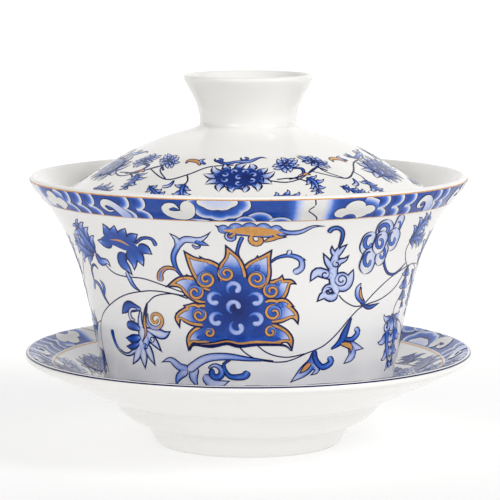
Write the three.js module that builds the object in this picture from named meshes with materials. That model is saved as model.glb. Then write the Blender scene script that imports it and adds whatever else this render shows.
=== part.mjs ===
// A gaiwan: a lidded porcelain tea bowl that stands on its own saucer.
//
// Three separately fired pieces share one upright axis: the saucer at the bottom, the bowl with
// its foot ring in the saucer's well, and the domed lid, which rests inside the bowl's flared
// rim. The lid's ring-shaped knob is luted on before firing, so lid and knob are one piece.
// Millimetres, +Z up. The origin is the centre of the saucer's foot, on the table's surface.
//
// Every piece is turned. Its section is a list of (radius, height) points that leaves the axis
// under the piece, runs out and up the outside, passes over the edge and comes back down the
// inside to the axis, with the clay always on its left.

import * as THREE from 'three';

// ---- Driving dimensions, in millimetres and degrees --------------------------------------
//
// A curve's entry gives the slopes above the horizontal at which it leaves its first point and
// reaches its last, how long it keeps each slope, as a share of the straight distance between
// the two points, and how many chords it is cut into.

const FACETS = 48; // flat facets round each turned piece
const EDGE_CHORDS = 5; // chords in the half circle of a rounded edge
const STANDING_GAP = 0.3; // between a foot ring and the surface that it stands on
const ARRIS = 0.5; // small bevel on the edges of a foot ring

// Saucer
const SAUCER_RADIUS = 56.3;
const SAUCER_HEIGHT = 23.6;
const SAUCER_WALL = 2.3; // thickness of the flange
const SAUCER_EDGE = 2.0; // thickness of the rounded rim
const SAUCER_FLOOR = 3.6; // thickness between the foot's recess and the well
const SAUCER_FOOT_INSET = 0.6; // how far inside the bowl's foot ring the saucer's stands
const SAUCER_FOOT_WIDTH = 2.6;
const SAUCER_FOOT_RECESS = 3.8;
const SAUCER_FOOT_HEIGHT = 4.9; // up to the crease above the foot ring
const SAUCER_FOOT_FLARE = 2.8; // how much wider the foot is at that crease
const WELL_BANK = 8.5; // from the well's flat floor out to the crease under the flange
const WELL_DEPTH = 3.6; // height of that crease above the well's floor
const BULGE_CURVE = { leave: 22, leavePull: 0.45, reach: 62, reachPull: 0.4, chords: 6 };
const FLANGE_CURVE = { leave: 23, leavePull: 0.35, reach: 28, reachPull: 0.35, chords: 6 };
const WELL_CURVE = { leave: 10, leavePull: 0.45, reach: 45, reachPull: 0.3, chords: 5 };

// Bowl
const BOWL_RADIUS = 54.8;
const BOWL_HEIGHT = 60.2;
const BOWL_WALL = 2.4;
const BOWL_LIP = 1.8; // thickness of the rounded lip
const BOWL_FLOOR = 2.6;
const BOWL_FOOT_RADIUS = 24;
const BOWL_FOOT_WIDTH = 2.4;
const BOWL_FOOT_HEIGHT = 3.3;
const BOWL_FOOT_RECESS = 2.6;
const BOWL_FOOT_PLAY = 1.5; // room round the foot ring in the saucer's well
const HEEL_OVERHANG = 2; // how far the bowl's heel stands out past the well's crease
const HEEL_CLEARANCE = 1.4; // the heel's height above the saucer's flange
const BOWL_WALL_CURVE = { leave: 74.5, leavePull: 0.37, reach: 50, reachPull: 0.44, chords: 10 };
const BOWL_HEEL_CURVE = { leave: 20, leavePull: 0.3, reach: 74.5, reachPull: 0.2, chords: 5 };
const BOWL_FLOOR_CURVE = { leave: 8, leavePull: 0.5, reach: 74.5, reachPull: 0.35, chords: 5 };

// Lid
const LID_SEAT_DEPTH = 7.5; // how far below the bowl's lip the lid's edge rests
const LID_SEAT_CLEARANCE = 0.3; // between the lid's edge and the bowl's inside
const LID_WALL = 2.3;
const LID_EDGE = 2.0; // thickness of the rounded edge
const LID_RISE = 19.2; // from the lid's edge to the knob's neck
const LID_CROWN = 1.4; // rise of the underside from beneath the neck to the centre
const LID_DOME_CURVE = { leave: 142, leavePull: 0.7, reach: 138, reachPull: 0.1, chords: 9 };
const LID_CROWN_CURVE = { leave: 0, leavePull: 0.4, reach: -17, reachPull: 0.3, chords: 3 };
const KNOB_NECK_RADIUS = 12.2;
const KNOB_RADIUS = 16.2;
const KNOB_HEIGHT = 12.6;
const KNOB_WALL = 2.0;
const KNOB_LIP = 1.6;
const KNOB_FLOOR = 2.4; // thickness between the lid's underside and the knob's hollow
const KNOB_CURVE = { leave: 96, leavePull: 0.4, reach: 65, reachPull: 0.3, chords: 6 };

// Glaze
const GLAZE_COLOUR = 0xeceae6;
const GLAZE_ROUGHNESS = 0.12;

// ---- Profile tools -----------------------------------------------------------------------

const at = (radius, height) => new THREE.Vector2(radius, height);

// The unit step at an angle above the horizontal.
function heading(degrees) {
  const angle = THREE.MathUtils.degToRad(degrees);
  return at(Math.cos(angle), Math.sin(angle));
}

// The smooth stretch from one point to another that a curve's entry describes.
function curve(from, to, { leave, leavePull, reach, reachPull, chords }) {
  const distance = from.distanceTo(to);
  const afterStart = heading(leave).multiplyScalar(distance * leavePull).add(from);
  const beforeEnd = heading(reach).multiplyScalar(-distance * reachPull).add(to);
  return new THREE.CubicBezierCurve(from, afterStart, beforeEnd, to).getPoints(chords);
}

// Where a rounded edge of a given thickness begins, on the outside of a wall that reaches it at
// a slope: the edge's circle touches the wall there.
function edgeStart(centre, thickness, slope) {
  return heading(slope - 90).multiplyScalar(thickness / 2).add(centre);
}

// The half circle that rounds an edge off, from one side of a wall to the other.
function roundedEdge(from, to) {
  const centre = from.clone().add(to).multiplyScalar(0.5);
  const spoke = from.clone().sub(centre);
  const points = [];
  for (let i = 1; i < EDGE_CHORDS; i += 1) {
    points.push(spoke.clone().rotateAround(at(0, 0), (Math.PI * i) / EDGE_CHORDS).add(centre));
  }
  return points;
}

// The direction of a run of points at one of them, from its neighbours on both sides.
function directionAt(points, i) {
  const before = points[Math.max(i - 1, 0)];
  const after = points[Math.min(i + 1, points.length - 1)];
  return after.clone().sub(before).normalize();
}

// The far side of a wall: each point is moved to the left of the run. The thickness changes
// evenly from the first point to the last.
function farSide(points, firstThickness, lastThickness) {
  return points.map((point, i) => {
    const share = i / (points.length - 1);
    const thickness = THREE.MathUtils.lerp(firstThickness, lastThickness, share);
    const direction = directionAt(points, i);
    return point.clone().add(at(-direction.y, direction.x).multiplyScalar(thickness));
  });
}

// A run's height at a radius, where the run only moves outwards.
function heightAt(points, radius) {
  const i = points.findIndex((point) => point.x >= radius);
  const share = (radius - points[i - 1].x) / (points[i].x - points[i - 1].x);
  return THREE.MathUtils.lerp(points[i - 1].y, points[i].y, share);
}

// Where a run that only moves upwards reaches a height, and its direction there.
function placeAtHeight(points, height) {
  const i = points.findIndex((point) => point.y >= height);
  const share = (height - points[i - 1].y) / (points[i].y - points[i - 1].y);
  const direction = points[i].clone().sub(points[i - 1]).normalize();
  return { point: points[i - 1].clone().lerp(points[i], share), direction };
}

// The underside of a foot ring: out from the axis under the recess, down its inner side,
// across the flat that stands on the surface, and round the outer edge.
function footRing(radius, width, recess, height) {
  const inner = radius - width;
  return [
    at(0, height + recess),
    at(inner - 2 * ARRIS, height + recess),
    at(inner - ARRIS, height + recess - ARRIS),
    at(inner, height + ARRIS),
    at(inner + ARRIS, height),
    at(radius - ARRIS, height),
    at(radius, height + ARRIS),
  ];
}

const reversed = (points) => [...points].reverse();

// ---- Saucer ------------------------------------------------------------------------------

const wellFloorHeight = SAUCER_FOOT_RECESS + SAUCER_FLOOR;
const wellFloorRadius = BOWL_FOOT_RADIUS + BOWL_FOOT_PLAY;
const saucerFootRadius = BOWL_FOOT_RADIUS - SAUCER_FOOT_INSET;
const wellCrease = at(wellFloorRadius + WELL_BANK, wellFloorHeight + WELL_DEPTH);

// The well's bulge, from the crease above the foot ring out to the crease under the flange.
function saucerBulge() {
  const footCrease = at(saucerFootRadius + SAUCER_FOOT_FLARE, SAUCER_FOOT_HEIGHT);
  return curve(footCrease, wellCrease, BULGE_CURVE);
}

// The underside of the flange, from the well's crease out to the start of the rounded rim.
function saucerFlange() {
  const rimCentre = at(SAUCER_RADIUS - SAUCER_EDGE / 2, SAUCER_HEIGHT - SAUCER_EDGE / 2);
  const rimStart = edgeStart(rimCentre, SAUCER_EDGE, FLANGE_CURVE.reach);
  return curve(wellCrease, rimStart, FLANGE_CURVE);
}

function saucerFlangeTop() {
  return farSide(saucerFlange(), SAUCER_WALL, SAUCER_EDGE);
}

function saucerSection() {
  const flange = saucerFlange();
  const flangeTop = saucerFlangeTop();
  const floorEdge = at(wellFloorRadius, wellFloorHeight);
  return [
    ...footRing(saucerFootRadius, SAUCER_FOOT_WIDTH, SAUCER_FOOT_RECESS, 0),
    ...saucerBulge(),
    ...flange.slice(1),
    ...roundedEdge(flange.at(-1), flangeTop.at(-1)),
    ...reversed(flangeTop),
    ...reversed(curve(floorEdge, flangeTop[0], WELL_CURVE)).slice(1),
    at(0, wellFloorHeight),
  ];
}

// ---- Bowl --------------------------------------------------------------------------------

const bowlFootHeight = wellFloorHeight + STANDING_GAP;
const bowlLipHeight = bowlFootHeight + BOWL_HEIGHT;
const heelRadius = wellCrease.x + HEEL_OVERHANG;
const heel = at(heelRadius, heightAt(saucerFlangeTop(), heelRadius) + HEEL_CLEARANCE);

// The bowl's underside, from the top of its foot ring out to the heel.
function bowlUnderside() {
  const footTop = at(BOWL_FOOT_RADIUS + ARRIS, bowlFootHeight + BOWL_FOOT_HEIGHT);
  return curve(footTop, heel, BOWL_HEEL_CURVE);
}

// The outside of the wall, from the heel up and out to the start of the rounded lip.
function bowlWall() {
  const lipCentre = at(BOWL_RADIUS - BOWL_LIP / 2, bowlLipHeight - BOWL_LIP / 2);
  return curve(heel, edgeStart(lipCentre, BOWL_LIP, BOWL_WALL_CURVE.reach), BOWL_WALL_CURVE);
}

function bowlWallInside() {
  return farSide(bowlWall(), BOWL_WALL, BOWL_LIP);
}

function bowlSection() {
  const wall = bowlWall();
  const inside = bowlWallInside();
  const floorHeight = bowlFootHeight + BOWL_FOOT_RECESS + BOWL_FLOOR;
  const floorEdge = at(BOWL_FOOT_RADIUS - BOWL_FOOT_WIDTH, floorHeight);
  return [
    ...footRing(BOWL_FOOT_RADIUS, BOWL_FOOT_WIDTH, BOWL_FOOT_RECESS, bowlFootHeight),
    ...bowlUnderside(),
    ...wall.slice(1),
    ...roundedEdge(wall.at(-1), inside.at(-1)),
    ...reversed(inside),
    ...reversed(curve(floorEdge, inside[0], BOWL_FLOOR_CURVE)).slice(1),
    at(0, floorHeight),
  ];
}

// ---- Lid ---------------------------------------------------------------------------------

// The centre of the lid's rounded edge: a clearance away from the bowl's inside, square to it.
function seatedLidEdge() {
  const seat = placeAtHeight(bowlWallInside(), bowlLipHeight - LID_SEAT_DEPTH);
  const inwards = at(-seat.direction.y, seat.direction.x);
  return inwards.multiplyScalar(LID_SEAT_CLEARANCE + LID_EDGE / 2).add(seat.point);
}

const lidEdgeCentre = seatedLidEdge();
const neck = at(KNOB_NECK_RADIUS, lidEdgeCentre.y + LID_RISE);

// The outside of the dome, from the rounded edge in and up to the knob's neck.
function lidDome() {
  const domeStart = edgeStart(lidEdgeCentre, LID_EDGE, LID_DOME_CURVE.leave);
  return curve(domeStart, neck, LID_DOME_CURVE);
}

// The outside of the knob, from its neck up to its flared lip.
function knobWall() {
  const lipCentre = at(KNOB_RADIUS - KNOB_LIP / 2, neck.y + KNOB_HEIGHT - KNOB_LIP / 2);
  return curve(neck, edgeStart(lipCentre, KNOB_LIP, KNOB_CURVE.reach), KNOB_CURVE);
}

function lidSection() {
  const dome = lidDome();
  const underside = farSide(dome, LID_EDGE, LID_WALL);
  const knob = knobWall();
  const crown = at(0, underside.at(-1).y + LID_CROWN);
  const hollowFloor = crown.y + KNOB_FLOOR;
  const hollow = farSide(knob, KNOB_WALL, KNOB_LIP).filter((p) => p.y > hollowFloor + ARRIS);
  return [
    ...curve(crown, underside.at(-1), LID_CROWN_CURVE),
    ...reversed(underside).slice(1),
    ...roundedEdge(underside[0], dome[0]),
    ...dome,
    ...knob.slice(1),
    ...roundedEdge(knob.at(-1), hollow.at(-1)),
    ...reversed(hollow),
    at(hollow[0].x - ARRIS, hollowFloor),
    at(0, hollowFloor),
  ];
}

// ---- Assembly ----------------------------------------------------------------------------

// A turned piece: its section carried once round the Z axis.
function turned(name, section) {
  const geometry = new THREE.LatheGeometry(section, FACETS);
  geometry.rotateX(Math.PI / 2);
  const glaze = new THREE.MeshStandardMaterial({
    color: GLAZE_COLOUR,
    roughness: GLAZE_ROUGHNESS,
    metalness: 0,
  });
  const mesh = new THREE.Mesh(geometry, glaze);
  mesh.name = name;
  return mesh;
}

const gaiwan = new THREE.Group();
gaiwan.add(turned('saucer', saucerSection()));
gaiwan.add(turned('bowl', bowlSection()));
gaiwan.add(turned('lid', lidSection()));

export default gaiwan;
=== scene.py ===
"""A blue-and-white porcelain gaiwan: the looks of its saucer, bowl and lid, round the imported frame.

Each of the three pieces is one fine turned body, which follows the outline of its frame node, and
four coats of painting: dark outlines, gilding, blue wash and light strokes. A coat is a set of
thin marks that lie just above the glaze. A mark is a grid of points in a flat drawing, measured
in millimetres, which is then wrapped round the piece.
"""

import math

import bpy
import numpy as np
from bpy.props import FloatProperty, FloatVectorProperty, IntProperty, PointerProperty
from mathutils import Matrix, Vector


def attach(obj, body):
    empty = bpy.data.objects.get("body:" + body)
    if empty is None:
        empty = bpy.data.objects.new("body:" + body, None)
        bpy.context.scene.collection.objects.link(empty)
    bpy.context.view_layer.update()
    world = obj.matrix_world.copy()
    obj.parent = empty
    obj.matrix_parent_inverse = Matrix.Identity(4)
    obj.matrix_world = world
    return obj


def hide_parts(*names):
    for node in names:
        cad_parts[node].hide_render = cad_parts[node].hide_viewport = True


bl_info = {
    "name": "Painted Gaiwan",
    "version": (1, 0, 0),
    "blender": (4, 5, 0),
    "location": "View3D > Sidebar > Gaiwan",
    "description": "Builds a blue-and-white porcelain gaiwan round its packed frame",
    "category": "Add Mesh",
}

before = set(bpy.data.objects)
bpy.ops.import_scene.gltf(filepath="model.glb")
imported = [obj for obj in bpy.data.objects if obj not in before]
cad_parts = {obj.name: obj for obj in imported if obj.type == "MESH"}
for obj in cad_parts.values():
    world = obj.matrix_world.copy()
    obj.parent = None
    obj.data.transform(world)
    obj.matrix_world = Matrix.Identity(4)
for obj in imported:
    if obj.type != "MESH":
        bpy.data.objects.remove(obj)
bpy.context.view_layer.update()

MM = 0.001
FRONT = -math.pi / 2
COATS = ("line", "gilt", "wash", "light")
GRID = 0.8  # mm, the widest cell of a wide mark's grid
SPACING = 0.38  # mm, between a stroke's rows
PINHOLE = 0.02  # the share of its radius at which a round mark's first ring lies
BAND_LINE = 0.17  # mm, the dark outline in the cloud band
BAND_REPEAT = 81.8  # mm, the length of one repeat of the cloud band as it is drawn
BAND_REPEATS = 4
BAND_BLUE = 0.86  # the wash of the band's plain ground
LEAFY = (0.9, 0.5, 0.05)  # the wash of a cut leaf, from its root to its tip


# ---- What a user would change ---------------------------------------------------------------


def colour(name, description, default):
    """A colour that the user can change."""
    return FloatVectorProperty(
        name=name, description=description, default=default, subtype="COLOR", size=3, min=0, max=1
    )


def metres(name, description, default):
    """A size in metres that the user can change."""
    return FloatProperty(
        name=name, description=description, default=default, subtype="DISTANCE", unit="LENGTH", precision=6
    )


class GlazeSettings(bpy.types.PropertyGroup):
    """The white glaze, and how finely the bodies are turned"""

    white: colour("White", "Clear glaze over white clay", (0.76, 0.747, 0.722))
    roughness: FloatProperty(name="Roughness", description="Of the glaze", default=0.12, min=0, max=1)
    ripple: FloatProperty(
        name="Ripple",
        description="Strength of the slow waves in the glaze",
        default=0.06,
        min=0,
        max=1,
        subtype="FACTOR",
    )
    facets: IntProperty(name="Facets", description="Round each turned body", default=256, min=48)


class PaintSettings(bpy.types.PropertyGroup):
    """The painting's colours and line widths"""

    line: colour("Outline", "Almost black blue, for outlines", (0.004, 0.008, 0.060))
    ink: colour("Ink wash", "Blue wash where it pools", (0.003, 0.008, 0.085))
    deep: colour("Deep wash", "Blue wash at full strength", (0.006, 0.040, 0.265))
    middle: colour("Middle wash", "Blue wash at half strength", (0.045, 0.150, 0.590))
    pale: colour("Pale wash", "Blue wash at its weakest", (0.500, 0.570, 0.830))
    gilt: colour("Gilding", "Ochre gold enamel", (0.660, 0.320, 0.085))
    outline: metres("Outline width", "Of the dark line round a leaf or petal", 0.30 * MM)
    vine: metres("Vine width", "Of the thin stems", 0.33 * MM)


class StageSettings(bpy.types.PropertyGroup):
    """The floor and the camera"""

    floor: colour("Floor", "Pale floor and backdrop", (0.5, 0.5, 0.5))
    glow: FloatVectorProperty(
        name="Glow",
        description="Light given off by the floor in front, by the floor below and by the backdrop",
        default=(0.32, 0.49, 0.66),
        size=3,
        min=0,
    )
    distance: metres("Camera distance", "From the gaiwan's axis, along the floor", 675 * MM)
    height: metres("Camera height", "Above the floor", 133.6 * MM)
    tilt: FloatProperty(
        name="Camera tilt",
        description="Below the horizontal",
        default=math.radians(7.18),
        subtype="ANGLE",
        unit="ROTATION",
    )
    lens: FloatProperty(
        name="Lens", description="Focal length", default=194.4, subtype="DISTANCE_CAMERA", unit="CAMERA"
    )


# ---- Outlines of the turned pieces ----------------------------------------------------------


def node_section(name):
    """A turned node's outline as (radius, height) points in metres.

    The node's corners that lie in the half plane y = 0, x >= 0 are followed along the triangles'
    edges, from the lower point on the axis, out over the edge and back to the axis.
    """
    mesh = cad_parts[name].data
    corner = np.empty(len(mesh.vertices) * 3)
    mesh.vertices.foreach_get("co", corner)
    order = np.empty(len(mesh.loops), np.int64)
    mesh.loops.foreach_get("vertex_index", order)
    near = 0.004 * MM
    slack = 4 * near
    cells = np.round(corner.reshape(-1, 3) / near).astype(np.int64)
    cells, merged = np.unique(cells, axis=0, return_inverse=True)
    point = cells * near
    triangle = merged.reshape(-1)[order].reshape(-1, 3)
    on_plane = (np.abs(point[:, 1]) < slack) & (point[:, 0] > -slack)
    edges = np.vstack([triangle[:, [0, 1]], triangle[:, [1, 2]], triangle[:, [2, 0]]])
    edges = np.unique(np.sort(edges[on_plane[edges].all(axis=1)], axis=1), axis=0)
    joined = {}
    for a, b in edges.tolist():
        joined.setdefault(a, []).append(b)
        joined.setdefault(b, []).append(a)
    on_axis = [k for k in joined if point[k, 0] < slack]
    path = [min(on_axis, key=lambda k: point[k, 2])]
    while len(path) < len(joined):
        path += [k for k in joined[path[-1]] if k not in path[-2:]]
    return point[path][:, [0, 2]]


def hermite(start, start_slope, end, end_slope, t):
    """The cubic that leaves one point and reaches another with given slopes, for t from 0 to 1."""
    rest = 1 - t
    return (
        start * rest**2 * (1 + 2 * t)
        + start_slope * rest**2 * t
        + end * t**2 * (3 - 2 * t)
        - end_slope * t**2 * rest
    )


def smoothed(section, longest=1.2 * MM, corner=math.radians(40), bend=math.radians(9)):
    """The section with its chords swollen into curves.

    Between each two points runs a cubic whose direction at a point is the mean of the chords that
    meet there, the shorter chord counting more. At a corner each side keeps its own chord's
    direction. A curve gets a new point at least every `longest` and every `bend` that it turns.
    """
    chord = np.diff(section, axis=0)
    length = np.linalg.norm(chord, axis=1)
    heading = chord / length[:, None]
    turn = np.arccos(np.clip((heading[1:] * heading[:-1]).sum(axis=1), -1, 1))
    before, after = length[:-1, None], length[1:, None]
    mean = (heading[:-1] * after + heading[1:] * before) / (before + after)
    mean /= np.linalg.norm(mean, axis=1)[:, None]
    sharp = (turn > corner)[:, None]
    leave = np.vstack([heading[:1], np.where(sharp, heading[1:], mean)])
    reach = np.vstack([np.where(sharp, heading[:-1], mean), heading[-1:]])
    runs = []
    for i, size in enumerate(length):
        swing = math.acos(min(1, float(leave[i] @ reach[i])))
        count = max(1, math.ceil(size / longest), math.ceil(swing / bend))
        t = np.arange(count)[:, None] / count
        runs.append(hermite(section[i], leave[i] * size, section[i + 1], reach[i] * size, t))
    return np.vstack([*runs, section[-1:]])


class PaintedFace:
    """The outside of a turned piece as a surface to paint on.

    A place is x along the circle, from the front and to the painter's right, and y along the
    section from its origin, both in millimetres. It lies at the angle x / radius there.
    """

    def __init__(self, section, origin):
        step = np.linalg.norm(np.diff(section, axis=0), axis=1)
        travelled = np.concatenate([[0], np.cumsum(step)]) / MM
        self.y = travelled - travelled[origin]
        self.radius = section[:, 0]
        self.height = section[:, 1]
        slope = np.gradient(section, self.y, axis=0)
        slope /= np.linalg.norm(slope, axis=1)[:, None]
        self.out = slope[:, 1]
        self.up = -slope[:, 0]

    def radius_at(self, y):
        """The radius in millimetres at a place along the section."""
        return np.interp(y, self.y, self.radius) / MM

    def wrap(self, x, y, turn, lift):
        """Points and outward directions for flat places, turned about Z and lifted off."""
        angle = FRONT + turn + x / self.radius_at(y)
        out = np.interp(y, self.y, self.out)
        up = np.interp(y, self.y, self.up)
        radius = np.interp(y, self.y, self.radius) + out * lift
        height = np.interp(y, self.y, self.height) + up * lift
        cos, sin = np.cos(angle), np.sin(angle)
        point = np.stack([radius * cos, radius * sin, height], axis=-1)
        normal = np.stack([out * cos, out * sin, up], axis=-1)
        return point, normal / np.linalg.norm(normal, axis=-1, keepdims=True)


# ---- Meshes ---------------------------------------------------------------------------------


def new_object(name, vertices, faces, uv, smooth_normals=None, wash=None):
    """An object at the origin from arrays: points, a list of face arrays and their corners' UVs."""
    mesh = bpy.data.meshes.new(name)
    corners = np.concatenate([face.reshape(-1) for face in faces])
    sizes = np.concatenate([np.full(len(face), face.shape[1]) for face in faces])
    mesh.vertices.add(len(vertices))
    mesh.vertices.foreach_set("co", vertices.astype(np.float32).ravel())
    mesh.loops.add(len(corners))
    mesh.loops.foreach_set("vertex_index", corners.astype(np.int32))
    mesh.polygons.add(len(sizes))
    mesh.polygons.foreach_set("loop_start", (np.cumsum(sizes) - sizes).astype(np.int32))
    mesh.polygons.foreach_set("use_smooth", np.ones(len(sizes), bool))
    layer = mesh.uv_layers.new(name="OFBake")
    layer.data.foreach_set("uv", uv.astype(np.float32).ravel())
    if wash is not None:
        strength = mesh.attributes.new("wash", "FLOAT", "POINT")
        strength.data.foreach_set("value", wash.astype(np.float32))
    mesh.update(calc_edges=True)
    mesh.validate()
    if smooth_normals is not None:
        mesh.normals_split_custom_set_from_vertices(smooth_normals.tolist())
    piece = bpy.data.objects.new(name, mesh)
    bpy.context.scene.collection.objects.link(piece)
    return piece


def turned_body(name, section, facets):
    """A body of revolution: point (i, j) is section point j, turned by i steps of a full circle.

    The section's two ends lie on the axis. Each is one point, joined to its ring by a fan.
    """
    ring = section[1:-1]
    rows = len(ring)
    angle = np.arange(facets)[:, None] * (2 * math.pi / facets)
    wide = np.stack(
        [ring[:, 0] * np.cos(angle), ring[:, 0] * np.sin(angle), ring[:, 1] + 0 * angle], axis=-1
    )
    poles = np.array([[0, 0, section[0, 1]], [0, 0, section[-1, 1]]])
    vertices = np.vstack([wide.reshape(-1, 3), poles])
    i = np.arange(facets)
    onward = (i + 1) % facets
    j = np.arange(rows - 1)
    here, there = i[:, None] * rows, onward[:, None] * rows
    quads = np.stack([here + j, there + j, there + j + 1, here + j + 1], axis=-1).reshape(-1, 4)
    first, last = facets * rows, facets * rows + 1
    under = np.stack([onward * rows, i * rows, np.full(facets, first)], axis=-1)
    over = np.stack([i * rows + rows - 1, onward * rows + rows - 1, np.full(facets, last)], axis=-1)
    v = np.linspace(0, 1, rows + 2)
    left, right = i[:, None] / facets, (i[:, None] + 1) / facets
    low, high = v[1:-2] + 0 * left, v[2:-1] + 0 * left
    left_quads, right_quads = left + 0 * low, right + 0 * low
    quad_uv = np.stack(
        [left_quads, low, right_quads, low, right_quads, high, left_quads, high], axis=-1
    )
    u0, u1 = i / facets, (i + 1) / facets
    one = np.ones(facets)
    under_uv = np.stack([u1, v[1] * one, u0, v[1] * one, (u0 + u1) / 2, 0 * one], axis=-1)
    over_uv = np.stack([u0, v[-2] * one, u1, v[-2] * one, (u0 + u1) / 2, one], axis=-1)
    uv = np.concatenate([quad_uv.ravel(), under_uv.ravel(), over_uv.ravel()])
    return new_object(name, vertices, [quads, under, over], uv)


class Coat:
    """Brush marks for one coat of painting, gathered into one mesh at the end."""

    LIFT = 0.035 * MM
    STEP = 0.006 * MM
    LEAST_CELL = 0.002 * MM**2
    UV_MARGIN = 0.05

    def __init__(self, face, rank):
        self.face = face
        self.rank = rank
        self.marks = []

    def add(self, x, y, wash, turn, level):
        """Takes a mark: grids of x, y and wash strength, on a turned panel, at a level."""
        lift = self.LIFT + self.STEP * (level * len(COATS) + self.rank)
        self.marks.append((x, y, wash, turn, lift))

    def build(self, name):
        """All marks as one mesh. Each mark is a grid, and has a square cell of its own in UV."""
        across = math.ceil(math.sqrt(len(self.marks)))
        vertices, normals, washes, quads, uvs = [], [], [], [], []
        count = 0
        for k, (x, y, wash, turn, lift) in enumerate(self.marks):
            point, normal = self.face.wrap(x, y, turn, lift)
            rows, columns = x.shape
            index = count + np.arange(rows * columns).reshape(rows, columns)
            quad = np.stack(
                [index[:-1, :-1], index[:-1, 1:], index[1:, 1:], index[1:, :-1]], axis=-1
            ).reshape(-1, 4)
            cell = np.array([k % across, k // across])
            row, column = np.mgrid[0:1:rows * 1j, 0:1:columns * 1j]
            inside = np.stack([column, row], axis=-1) * (1 - 2 * self.UV_MARGIN) + self.UV_MARGIN
            uv = (inside + cell) / across
            vertices.append(point.reshape(-1, 3))
            normals.append(normal.reshape(-1, 3))
            washes.append(wash.reshape(-1))
            uvs.append(uv.reshape(-1, 2))
            quads.append(quad)
            count += rows * columns
        vertices, normals = np.vstack(vertices), np.vstack(normals)
        quads, uvs = np.vstack(quads), np.vstack(uvs)
        one, two, three, four = (vertices[quads[:, k]] for k in range(4))
        area = np.cross(three - one, four - two)
        size = np.linalg.norm(area, axis=1)
        kept = size > self.LEAST_CELL
        quads, area = quads[kept], area[kept]
        inward = (area * normals[quads[:, 0]]).sum(axis=1) < 0
        quads[inward] = quads[inward][:, ::-1]
        used, compact = np.unique(quads, return_inverse=True)
        quads = compact.reshape(-1, 4)
        wash = np.concatenate(washes)[used]
        corner_uv = uvs[used][quads.ravel()]
        return new_object(name, vertices[used], [quads], corner_uv, normals[used], wash)


# ---- Brush strokes --------------------------------------------------------------------------


def evenly(values, t):
    """A smooth run through a few values at even stations, read at t from 0 to 1."""
    values = np.asarray(values, float)
    slope = np.gradient(values, axis=0)
    place = t * (len(values) - 1)
    i = np.minimum(place.astype(int), len(values) - 2)
    part = (place - i).reshape([-1] + [1] * (values.ndim - 1))
    return hermite(values[i], slope[i], values[i + 1], slope[i + 1], part)


def between(ends, share):
    """From the first of two values to the second, by a share of the way."""
    return ends[0] + (ends[1] - ends[0]) * share


def ray(angle):
    """The step of length 1 at an angle."""
    return np.array([math.cos(angle), math.sin(angle)])


def left_of(step):
    """A step turned by a quarter to the left."""
    return np.array([-step[1], step[0]])


def smooth_path(points, steps=24):
    """A smooth run through a few points, in steps, and the distance travelled along it."""
    fine = evenly(points, np.linspace(0, 1, steps * (len(points) - 1) + 1))
    travelled = np.concatenate([[0], np.cumsum(np.linalg.norm(np.diff(fine, axis=0), axis=1))])
    return fine, travelled


def read_path(values, travelled, place):
    """Pairs of values that belong to a path's points, read at a distance along it."""
    return np.stack([np.interp(place, travelled, values[:, k]) for k in (0, 1)], axis=-1)


def stroke_grid(points, halves, inset=0, least=0.012, crowding=0.75):
    """A brush stroke as a grid: along a smooth path, and across it between its two sides.

    The half width runs smoothly through a few values. Where an end isn't pointed it is rounded
    as half a circle. An inset narrows the stroke on both sides, and shortens it to where its half
    width is still more than the least. The rows crowd towards both ends as a sine, which keeps
    the round ends round. Returns x, y, and the shares along and across.
    """
    fine, travelled = smooth_path(points)
    total = travelled[-1]

    def half_width(t):
        """The half width at a share of the length, with the round ends and without the inset."""
        half = np.maximum(evenly(halves, t), 0)
        for end, gap in ((halves[0], t * total), (halves[-1], (1 - t) * total)):
            if end > 0:
                near = np.clip(gap / end, 0, 1)
                half = half * np.sqrt(np.maximum(1 - (1 - near) ** 2, 0))
        return half - inset

    scan = np.linspace(0, 1, 300)
    wide = scan[half_width(scan) > least]
    if len(wide) < 2:
        return None
    start, reach = wide[0], wide[-1] - wide[0]
    count = max(9, math.ceil(reach * total / SPACING) + 1)
    u = np.linspace(0, 1, count)
    u = u - crowding * np.sin(2 * math.pi * u) / (2 * math.pi)
    t = start + reach * u
    centre = read_path(fine, travelled, t * total)
    ahead = read_path(np.gradient(fine, travelled, axis=0), travelled, t * total)
    ahead /= np.linalg.norm(ahead, axis=1)[:, None]
    half = np.maximum(half_width(t), least / 2)
    columns = 2 * max(1, math.ceil(half.max() / GRID)) + 1
    v = np.linspace(-1, 1, columns)
    side = np.stack([-ahead[:, 1], ahead[:, 0]], axis=-1)
    grid = centre[:, None, :] + side[:, None, :] * (half[:, None] * v)[:, :, None]
    along = np.broadcast_to(t[:, None], grid.shape[:2])
    across = np.broadcast_to(v[None, :], grid.shape[:2])
    return grid[..., 0], grid[..., 1], along, across


def spiral(centre, start, end, begin, sweep, count=9):
    """Points on a spiral round a centre: the radius and the angle both change evenly."""
    t = np.linspace(0, 1, count)
    angle = np.radians(begin + sweep * t)
    radius = between((start, end), t)
    return np.stack([centre[0] + radius * np.cos(angle), centre[1] + radius * np.sin(angle)], axis=1)


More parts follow.
